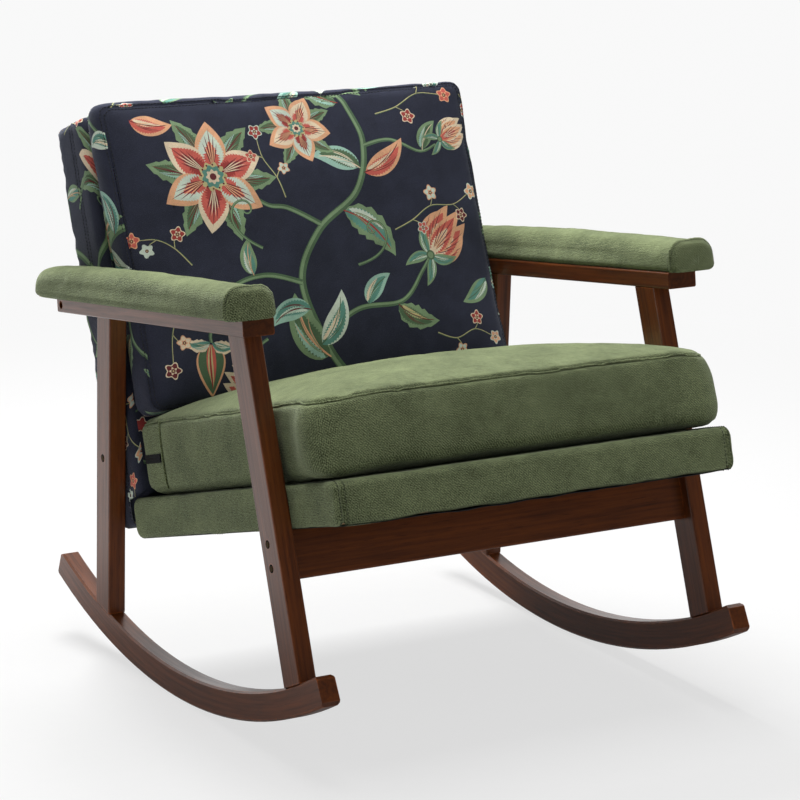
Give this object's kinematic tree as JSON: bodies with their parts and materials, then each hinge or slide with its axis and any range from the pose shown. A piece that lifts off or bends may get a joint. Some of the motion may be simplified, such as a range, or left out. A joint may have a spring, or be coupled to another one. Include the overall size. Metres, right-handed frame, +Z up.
{
  "type": "upholstered rocking chair",
  "caption": "Low upholstered armchair on two curved wooden runners, with leaning legs, padded arms, a loose seat cushion and a loose printed back cushion.",
  "frame": {"origin": "on the floor, in the middle of the chair's length and width", "axes": "+X to the sitter's left, +Y from the front of the chair to its back, +Z up"},
  "size_m": [0.7136, 0.8107, 0.7451],
  "materials": {
    "walnut_wood": "dark walnut stain, satin lacquer",
    "pine_frame": "bare planed softwood",
    "green_chenille": "soft napped woven cloth",
    "floral_print": "printed woven cloth, small weave",
    "steel": "zinc plated",
    "jute": "coarse plain weave",
    "black_cloth": "thin matt cloth",
    "black_zip": "coil zip on tape"
  },
  "bodies": {
    "frame": {"runner_left": "walnut_wood", "runner_right": "walnut_wood", "front_leg_left": "walnut_wood", "front_leg_right": "walnut_wood", "rear_leg_left": "walnut_wood", "rear_leg_right": "walnut_wood", "arm_rail_left": "walnut_wood", "arm_rail_right": "walnut_wood", "arm_board_left": "pine_frame", "arm_board_right": "pine_frame", "arm_pad_left": "green_chenille", "arm_pad_right": "green_chenille", "arm_pad_screws": "steel", "front_rail": "walnut_wood", "front_rail_bolts": "steel", "front_rail_nuts": "steel", "leg_caps": "walnut_wood", "foot_dowels": "pine_frame", "arm_dowels": "pine_frame", "base_front_rail": "pine_frame", "base_back_rail": "pine_frame", "base_side_rail_left": "pine_frame", "base_side_rail_right": "pine_frame", "base_cross_rail": "pine_frame", "base_corner_blocks": "pine_frame", "base_webbing": "jute", "seat_base": "green_chenille", "dust_cloth": "black_cloth", "base_screws": "steel", "back_stile_left": "pine_frame", "back_stile_right": "pine_frame", "back_top_rail": "pine_frame", "back_middle_rail": "pine_frame", "back_lower_rail": "pine_frame", "back_webbing": "jute", "back_pad": "floral_print", "back_panel": "floral_print", "back_leg_bolts": "steel", "back_arm_bolts": "steel", "back_inserts": "steel"},
    "seat_cushion": {"seat_cushion": "green_chenille", "seat_zip": "black_zip"},
    "back_cushion": {"back_cushion": "floral_print", "back_zip": "black_zip"}
  },
  "joints": [
    {"name": "seat_cushion_out", "type": "slide", "parent": "frame", "child": "seat_cushion", "axis": [0, -0.9659, 0.2588], "range_m": [0, 0.57]},
    {"name": "back_cushion_out", "type": "slide", "parent": "frame", "child": "back_cushion", "axis": [0, 0.3338, 0.9426], "range_m": [0, 0.42]}
  ]
}
